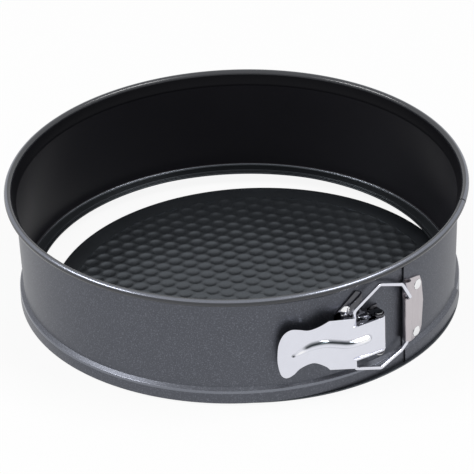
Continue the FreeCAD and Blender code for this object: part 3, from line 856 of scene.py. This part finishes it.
def rib_painted_light(points, spine, across, along):
    """Painted light on the pressed rib: below 0 where painted shade darkens its upper flank, lower edge and
    thin tip, above 0 where a painted highlight brightens its crest.

    Across is the distance from the rib's middle line in half widths, and along the share of its length.
    """
    line = np.array([tuple(p) for p in spine])
    above = points[:, 1] > np.interp(points[:, 0], line[::-1, 0], line[::-1, 1])
    side = np.where(above, across, -across)
    flank = bump_at(side, 0.60, 0.42) * np.clip((along - 0.16) * 12, 0.25, 1)
    flank = flank * np.clip((0.84 - along) * 14, 0, 1)
    foot = bump_at(side, -0.95, 0.16) * 0.16 + bump_at(across, 1.0, 0.14) * 0.30 * (along > 0.93)
    shine = bump_at(side, 0.10, 0.45) * (bump_at(along, 0.94, 0.10) + bump_at(along, 0.14, 0.08))
    tip = bump_at(along, 0.0, 0.03) * bump_at(across, 0.0, 0.8)
    fade = np.clip((1.25 - across) * 8, 0, 1)
    return (shine - flank - foot - tip) * fade


def rib_rise(s, across, along):
    """Height of the rib over the plate, lower and narrower towards its thin end."""
    step = np.clip((1 - across) * 2.2, 0, 1)
    return s.rib_height * (step * step * (3 - 2 * step)) * (0.45 + 0.55 * np.clip(along * 3, 0, 1))


def plate_points(s, form, edge):
    """Points of the plate's mesh: its edge, a grid inside it and the rows over the rib."""
    low, high = edge.min(0), edge.max(0)
    xs = np.arange(low[0], high[0], s.grain)
    ys = np.arange(low[1], high[1], s.grain)
    grid = np.array([(x, y) for x in xs for y in ys])
    to_edge, _ = distance_to(grid, edge, True)
    to_rib, _ = distance_to(grid, form.rib_spine(), False)
    clear = (to_edge > s.grain * 0.6) & (to_rib > s.rib_half * RIB_SKIRT + s.grain * 0.4)
    grid = grid[inside(grid, edge) & clear]
    return [Vector(p) for p in edge] + [Vector(p) for p in grid] + rib_mesh_points(s, form.rib_spine())


def lever_plate(s, form, material):
    """Pressed plate: a fine mesh inside the outline, raised along the rib and turned in at the edge."""
    edge = np.array(form.outline(), float)
    ring = [(i, (i + 1) % len(edge)) for i in range(len(edge))]
    flat, _, faces, *_ = delaunay_2d_cdt(plate_points(s, form, edge), ring, [], 1, 1e-6)
    flat = np.array([tuple(p) for p in flat])
    to_edge, _ = distance_to(flat, edge, True)
    to_rib, along = distance_to(flat, form.rib_spine(), False)
    across = to_rib / (s.rib_half * (0.40 + 0.60 * np.clip(along * 3.2, 0, 1)))
    # Painted shade and painted highlight of the rib, kept on the mesh for the plating.
    painted_light = rib_painted_light(flat, form.rib_spine(), across, along)
    turned = np.clip(1 - to_edge / s.edge_width, 0, 1) ** 2
    rises = s.sheet + rib_rise(s, across, along) - s.edge_turn * turned
    bm = bmesh.new()
    verts = [bm.verts.new(form.at(p[0], p[1], rise)) for p, rise in zip(flat, rises)]
    for face in faces:
        bm.faces.new([verts[i] for i in face])
    bmesh.ops.recalc_face_normals(bm, faces=bm.faces)
    if sum(f.normal.dot(form.out) for f in bm.faces) < 0:
        bmesh.ops.reverse_faces(bm, faces=bm.faces)
    mesh = bpy.data.meshes.new("lever_plate")
    bm.to_mesh(mesh)
    bm.free()
    mesh.attributes.new("painted_light", "FLOAT", "POINT").data.foreach_set("value", painted_light)
    piece = add_object("lever_plate", mesh, [material])
    solid = piece.modifiers.new("thickness", "SOLIDIFY")
    solid.thickness, solid.offset = s.sheet, -1
    broken_edges(piece, s.edge_round)
    baked(piece)
    smooth_by_angle(piece.data, 40)
    return piece


def circle(centre, radius, steps=28):
    """Points round a centre."""
    return [(centre.x + radius * math.cos(a), centre.y + radius * math.sin(a))
            for a in np.linspace(0, 2 * math.pi, steps, endpoint=False)]


def wrapped(circles):
    """Tight outline around some circles."""
    points = sorted(p for c in circles for p in circle(*c))
    sides = []
    for run in (points, points[::-1]):
        side = []
        for p in run:
            while len(side) > 1 and ((side[-1][0] - side[-2][0]) * (p[1] - side[-2][1])
                                     <= (side[-1][1] - side[-2][1]) * (p[0] - side[-2][0])):
                side.pop()
            side.append(p)
        sides += side[:-1]
    return sides


def pierced_plate(bm, outline, holes, z0, z1):
    """Flat plate with holes, as one closed solid."""
    loops = [outline] + holes
    points = [Vector(p) for loop in loops for p in loop]
    edges, start = [], 0
    for loop in loops:
        edges += [(start + i, start + (i + 1) % len(loop)) for i in range(len(loop))]
        start += len(loop)
    flat, _, faces, *_ = delaunay_2d_cdt(points, edges, [], 1, 1e-9)
    middles = np.array([sum((flat[i] for i in f), Vector((0, 0))) / len(f) for f in faces])
    solid = ~np.any([inside(middles, hole) for hole in holes], axis=0)
    low = [bm.verts.new((p.x, p.y, z0)) for p in flat]
    high = [bm.verts.new((p.x, p.y, z1)) for p in flat]
    for face, kept in zip(faces, solid):
        if kept:
            bm.faces.new([low[i] for i in face][::-1])
            bm.faces.new([high[i] for i in face])
    for a, b in edges:
        bm.faces.new((low[a], low[b], high[b], high[a]))


# Middle and far end of the crank's slot, on the way from the pivot to the crank.
SLOT_SHARES = (0.79, 0.60)


def add_fold(bm, s, form, z0, z1):
    """Strip of sheet that folds from the plate's narrow part back to an ear, between two heights."""
    depth = s.near_offset - (PIVOT.to_2d().length - form.wall)
    front = s.sheet - s.edge_turn - s.ear_tuck
    spots = np.linspace(form.left(s.near_end), form.left(s.step), 14)
    rows = [[bm.verts.new(form.at(x, z, rise)) for rise in (-depth, front)] for x in spots for z in (z0, z1)]
    for k in range(0, len(rows) - 2, 2):
        a, b, c, d = rows[k], rows[k + 1], rows[k + 2], rows[k + 3]
        bm.faces.new((a[0], a[1], c[1], c[0]))
        bm.faces.new((b[1], b[0], d[0], d[1]))
        bm.faces.new((a[1], b[1], d[1], c[1]))
        bm.faces.new((b[0], a[0], c[0], d[0]))
    for a, b in ((rows[0], rows[1]), (rows[-1], rows[-2])):
        bm.faces.new((a[0], b[0], b[1], a[1]))


def lever_ears(s, form, material):
    """Two ears from the plate's narrow part back to the pivot, each with its fold."""
    crank = polar(form.wall + s.crank_offset, s.crank)
    lean = polar(-s.slot_lean, s.crank)
    middle, far = [PIVOT + (crank - PIVOT) * share + lean for share in SLOT_SHARES]
    holes = [circle(PIVOT, s.pivot_hole),
             wrapped([(crank, s.crank_hole), (middle, s.slot_middle), (far, s.slot_far)])]
    outline = wrapped([(PIVOT, s.ear_pivot_round), (crank, s.ear_crank_round)])
    bm = bmesh.new()
    for z0, z1 in ((CLASP_Z - s.narrow_half, CLASP_Z - s.narrow_half + s.ear_sheet),
                   (CLASP_Z + s.narrow_half - s.ear_sheet, CLASP_Z + s.narrow_half)):
        pierced_plate(bm, outline, holes, z0, z1)
        add_fold(bm, s, form, z0, z1)
    piece = add_object("lever_ears", mesh_from(bm, "lever_ears"), [material])
    broken_edges(piece, s.ear_edge)
    baked(piece)
    smooth_by_angle(piece.data)
    return piece


class PAN_OT_lever(bpy.types.Operator):
    """Pressed and plated clasp lever with its ears"""
    bl_idname = "pan.lever"
    bl_label = "Lever"

    def execute(self, context):
        s = context.scene.pan_lever
        # The plating shows the rib's painted shade and painted highlight.
        material = plating_material("bright_plating", s.plating, roughness=0.13, grain=0.06, painted_light=1.0)
        form = LeverForm(s, clasp_wall(context))
        plate = lever_plate(s, form, material)
        ears = lever_ears(s, form, material)
        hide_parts("lever")
        for piece in (plate, ears):
            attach(piece, "clasp_lever")
        return {"FINISHED"}


# ------------------------------------------------------------------ bail

# Bail: share of the way from the crank to the catch, height over the clasp's middle, step out (metres).
BAIL_UPPER = ((0.0, 0.0186, 0.0), (0.455, 0.0290, 0.0014), (0.88, 0.0216, 0.0014))
BAIL_LOWER = ((0.86, -0.0221, 0.0008), (0.46, -0.0264, 0.0012), (0.0, -0.0192, 0.0))


def bail_points(s, lever, wall):
    """Corners of the bail: up from the lever's ears, through the catch's roll and back below."""
    crank = polar(wall + lever.crank_offset, lever.crank, CLASP_Z)
    catch = Vector((CATCH.x, CATCH.y, CLASP_Z))
    toward = math.atan2(catch.y, catch.x)

    def at(share, rise, step_out):
        return (crank.lerp(catch, share) + polar(step_out, lever.crank + (toward - lever.crank) * share)
                + Vector((0, 0, rise)))

    front = (catch + polar(s.roll_radius + s.wire_radius + s.front_gap, toward)
             + polar(s.turn_left, toward - math.pi / 2) + Vector((0, 0, s.turn_height + s.turn_rise)))
    turn = catch + Vector((0, 0, s.turn_height))
    end = catch - Vector((0, 0, s.roll_low + s.wire_radius + s.front_gap))
    return [at(*p) for p in BAIL_UPPER] + [front, turn, end] + [at(*p) for p in BAIL_LOWER]


def bent_wire(points, bend, steps=7):
    """Closed path with each corner turned on a small radius."""
    path = []
    for i, here in enumerate(points):
        before = points[i - 1] - here
        after = points[(i + 1) % len(points)] - here
        turn = before.angle(after)
        reach = min(bend / math.tan(turn / 2), before.length * 0.45, after.length * 0.45)
        a, b = here + before.normalized() * reach, here + after.normalized() * reach
        for k in range(steps + 1):
            t = k / steps
            path.append(a * (1 - t) ** 2 + here * 2 * t * (1 - t) + b * t * t)
    return path


class PAN_OT_bail(bpy.types.Operator):
    """Wire loop between the lever and the catch"""
    bl_idname = "pan.bail"
    bl_label = "Bail"

    def execute(self, context):
        s, lever = context.scene.pan_clasp, context.scene.pan_lever
        path = bent_wire(bail_points(s, lever, clasp_wall(context)), s.bend_radius)
        curve = bpy.data.curves.new("bail_wire", "CURVE")
        curve.dimensions = "3D"
        spline = curve.splines.new("POLY")
        spline.points.add(len(path) - 1)
        for point, place in zip(spline.points, path):
            point.co = (*place, 1)
        spline.use_cyclic_u = True
        curve.bevel_depth, curve.bevel_resolution = s.wire_radius, 5
        drawn = bpy.data.objects.new("bail_curve", curve)
        context.scene.collection.objects.link(drawn)
        context.view_layer.update()
        mesh = bpy.data.meshes.new_from_object(drawn.evaluated_get(context.evaluated_depsgraph_get()))
        bpy.data.objects.remove(drawn)
        plating = plating_material("wire_plating", lever.plating, roughness=0.16, grain=0.04)
        wire = add_object("bail_wire", mesh, [plating])
        smooth_by_angle(wire.data, 60)
        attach(wire, "clasp_bail")
        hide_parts("bail")
        return {"FINISHED"}


# ------------------------------------------------------------------ brackets, pin and rivets

def rounded_copy(node, name, material, body, edge_round):
    """A copy of a CAD node with its triangles merged and its edges broken."""
    mesh = frame["nodes"][node].data.copy()
    mesh.name = name
    mesh.materials.clear()
    bm = bmesh.new()
    bm.from_mesh(mesh)
    bmesh.ops.remove_doubles(bm, verts=bm.verts, dist=1e-6)
    bmesh.ops.dissolve_limit(bm, angle_limit=math.radians(0.6), verts=bm.verts, edges=bm.edges)
    bm.to_mesh(mesh)
    bm.free()
    piece = add_object(name, mesh, [material])
    broken_edges(piece, edge_round)
    baked(piece)
    smooth_by_angle(piece.data, 40)
    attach(piece, body)
    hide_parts(node)
    return piece


HEAD_SIDE_SHADE, HEAD_TOP_HIGHLIGHT = -0.9, 0.5     # painted light on a rivet's head: painted shade on its side, painted highlight on top


def shade_head(mesh):
    """Painted light on a rivet: painted shade round the side of its heads, a painted highlight on top."""
    places = np.empty(len(mesh.vertices) * 3)
    mesh.vertices.foreach_get("co", places)
    places = places.reshape(-1, 3)
    middle = places.mean(0)
    axis = np.array([middle[0], middle[1], 0]) / np.hypot(middle[0], middle[1])
    rel = places - middle
    out = np.linalg.norm(rel - np.outer(rel @ axis, axis), axis=1)
    painted_light = np.where(out > 0.95 * out.max(), HEAD_SIDE_SHADE, HEAD_TOP_HIGHLIGHT)
    mesh.attributes.new("painted_light", "FLOAT", "POINT").data.foreach_set("value", painted_light)


class PAN_OT_fittings(bpy.types.Operator):
    """Lever bracket, catch bracket, pivot pin and rivets"""
    bl_idname = "pan.fittings"
    bl_label = "Brackets, pin and rivets"

    def execute(self, context):
        s = context.scene.pan_clasp
        steel = plating_material("plated_steel", s.steel, roughness=0.18, grain=0.06, painted_light=1.0)
        satin = plating_material("satin_plating", s.satin, roughness=0.30, grain=0.10)
        # The lever bracket's dark steel is painted shade and painted reflection.
        dark = plating_material("dark_steel", s.dark, roughness=0.14, grain=0.05)
        plan = (("lever_bracket", "left_band", dark, "dark_steel"),
                ("pivot_pin", "left_band", steel, "bright_steel"),
                ("bracket_rivet_upper", "left_band", steel, "bright_steel"),
                ("bracket_rivet_lower", "left_band", steel, "bright_steel"),
                ("catch_bracket", "right_band", satin, "satin_steel"),
                ("catch_rivet_upper", "right_band", steel, "bright_steel"),
                ("catch_rivet_lower", "right_band", steel, "bright_steel"))
        for node, body, material, slot in plan:
            piece = rounded_copy(node, node + "_finished", material, body, s.edge_round)
            # Rivet and pin heads get painted shade round their sides and a painted highlight on top.
            if material is steel:
                shade_head(piece.data)
        return {"FINISHED"}


# ------------------------------------------------------------------ stage

SOFTBOXES = (("left_softbox", (-1.3, -0.2, 1.3)), ("right_softbox", (0.9, -0.2, 1.6)))
SOFTBOX_AIM = (0, 0, 0.04)
FLOOR_GLOW = 0.9      # how much of the floor the camera sees as plain white, without the object's shadow


def softbox(s, name, place):
    """Rectangular area lamp turned to the pan."""
    light = bpy.data.lights.new(name, "AREA")
    light.shape, light.size, light.size_y = "RECTANGLE", s.box_width, s.box_depth
    light.energy = s.box_power
    lamp = bpy.data.objects.new(name, light)
    lamp.location = place
    lamp.rotation_euler = (Vector(SOFTBOX_AIM) - Vector(place)).to_track_quat("-Z", "Y").to_euler()
    bpy.context.scene.collection.objects.link(lamp)


def seen_white(nodes):
    """1 for what the camera, a reflection or clear glass shows of the surroundings."""
    path = nodes.tree.nodes.new("ShaderNodeLightPath")
    seen = [Value(nodes, path.outputs[name])
            for name in ("Is Camera Ray", "Is Glossy Ray", "Is Transmission Ray")]
    either = nodes.add("ShaderNodeMath", {"operation": "MAXIMUM"}, {0: seen[0], 1: seen[1]})
    return nodes.add("ShaderNodeMath", {"operation": "MAXIMUM"}, {0: either, 1: seen[2]})


def white_room(s):
    """World that lights the pan at a plain level and shows white to the camera and in reflections."""
    world = bpy.data.worlds.new("white_room")
    world.use_nodes = True
    tree = world.node_tree
    tree.nodes.clear()
    nodes = Nodes(tree)
    strength = seen_white(nodes) * (1.0 - s.world_light) + s.world_light
    background = nodes.add("ShaderNodeBackground", None, {"Color": WHITE, "Strength": strength})
    output = tree.nodes.new("ShaderNodeOutputWorld")
    tree.links.new(background.socket, output.inputs["Surface"])
    return world


def white_floor(s):
    """Pale floor that keeps a faint shadow of the pan."""
    h = s.floor_half
    mesh = bpy.data.meshes.new("floor")
    mesh.from_pydata([(-h, -h, 0), (h, -h, 0), (h, h, 0), (-h, h, 0)], [], [(0, 1, 2, 3)])
    material = bpy.data.materials.new("floor_white")
    material.use_nodes = True
    tree = material.node_tree
    tree.nodes.clear()
    nodes = Nodes(tree)
    diffuse = nodes.add("ShaderNodeBsdfDiffuse", None, {"Color": rgba(s.floor)})
    glow = nodes.add("ShaderNodeEmission", None, {"Color": WHITE, "Strength": 1.0})
    mixed = nodes.add("ShaderNodeMixShader", None, {0: seen_white(nodes) * FLOOR_GLOW, 1: diffuse, 2: glow})
    output = tree.nodes.new("ShaderNodeOutputMaterial")
    tree.links.new(mixed.socket, output.inputs["Surface"])
    return add_object("floor", mesh, [material])


def camera_object(s):
    """Camera that looks at the pan from above its front."""
    camera = bpy.data.cameras.new("camera")
    camera.lens, camera.sensor_width = s.lens, 36.0
    camera.clip_start, camera.clip_end = 0.05, 50.0
    viewer = bpy.data.objects.new("camera", camera)
    place, target = Vector(s.camera_place), Vector(s.camera_target)
    turn = (target - place).to_track_quat("-Z", "Y").to_matrix() @ Matrix.Rotation(s.camera_roll, 3, "Z")
    viewer.matrix_world = Matrix.Translation(place) @ turn.to_4x4()
    bpy.context.scene.collection.objects.link(viewer)
    return viewer


class PAN_OT_stage(bpy.types.Operator):
    """White floor, soft light and the camera"""
    bl_idname = "pan.stage"
    bl_label = "Stage"

    def execute(self, context):
        s = context.scene.pan_stage
        scene = context.scene
        scene.world = white_room(s)
        scene.view_settings.view_transform = "Standard"
        white_floor(s)
        for name, place in SOFTBOXES:
            softbox(s, name, place)
        scene.camera = camera_object(s)
        return {"FINISHED"}


# ------------------------------------------------------------------ panel and registration

GROUPS = (("pan_band", PanBandSizes), ("pan_base", PanBaseSizes), ("pan_lever", PanLeverSizes),
          ("pan_clasp", PanClaspSizes), ("pan_stage", PanStageSizes))
OPERATORS = (PAN_OT_band, PAN_OT_base_plate, PAN_OT_lever, PAN_OT_bail, PAN_OT_fittings, PAN_OT_stage)


class PAN_PT_sidebar(bpy.types.Panel):
    """Sizes, colours and pieces of the springform pan"""
    bl_label = "Springform Pan"
    bl_idname = "PAN_PT_sidebar"
    bl_space_type = "VIEW_3D"
    bl_region_type = "UI"
    bl_category = "Springform Pan"

    def draw(self, context):
        for name, group in GROUPS:
            box = self.layout.box()
            values = getattr(context.scene, name)
            for key in group.__annotations__:
                box.prop(values, key)
        for operator in OPERATORS:
            self.layout.operator(operator.bl_idname)


def register():
    for name, group in GROUPS:
        bpy.utils.register_class(group)
        setattr(bpy.types.Scene, name, PointerProperty(type=group))
    for item in OPERATORS + (PAN_PT_sidebar,):
        bpy.utils.register_class(item)


def unregister():
    for item in (PAN_PT_sidebar,) + OPERATORS[::-1]:
        bpy.utils.unregister_class(item)
    for name, group in reversed(GROUPS):
        delattr(bpy.types.Scene, name)
        bpy.utils.unregister_class(group)


def main():
    register()
    bpy.ops.pan.band()
    bpy.ops.pan.base_plate()
    bpy.ops.pan.lever()
    bpy.ops.pan.bail()
    bpy.ops.pan.fittings()
    bpy.ops.pan.stage()


if __name__ == "__main__":
    main()
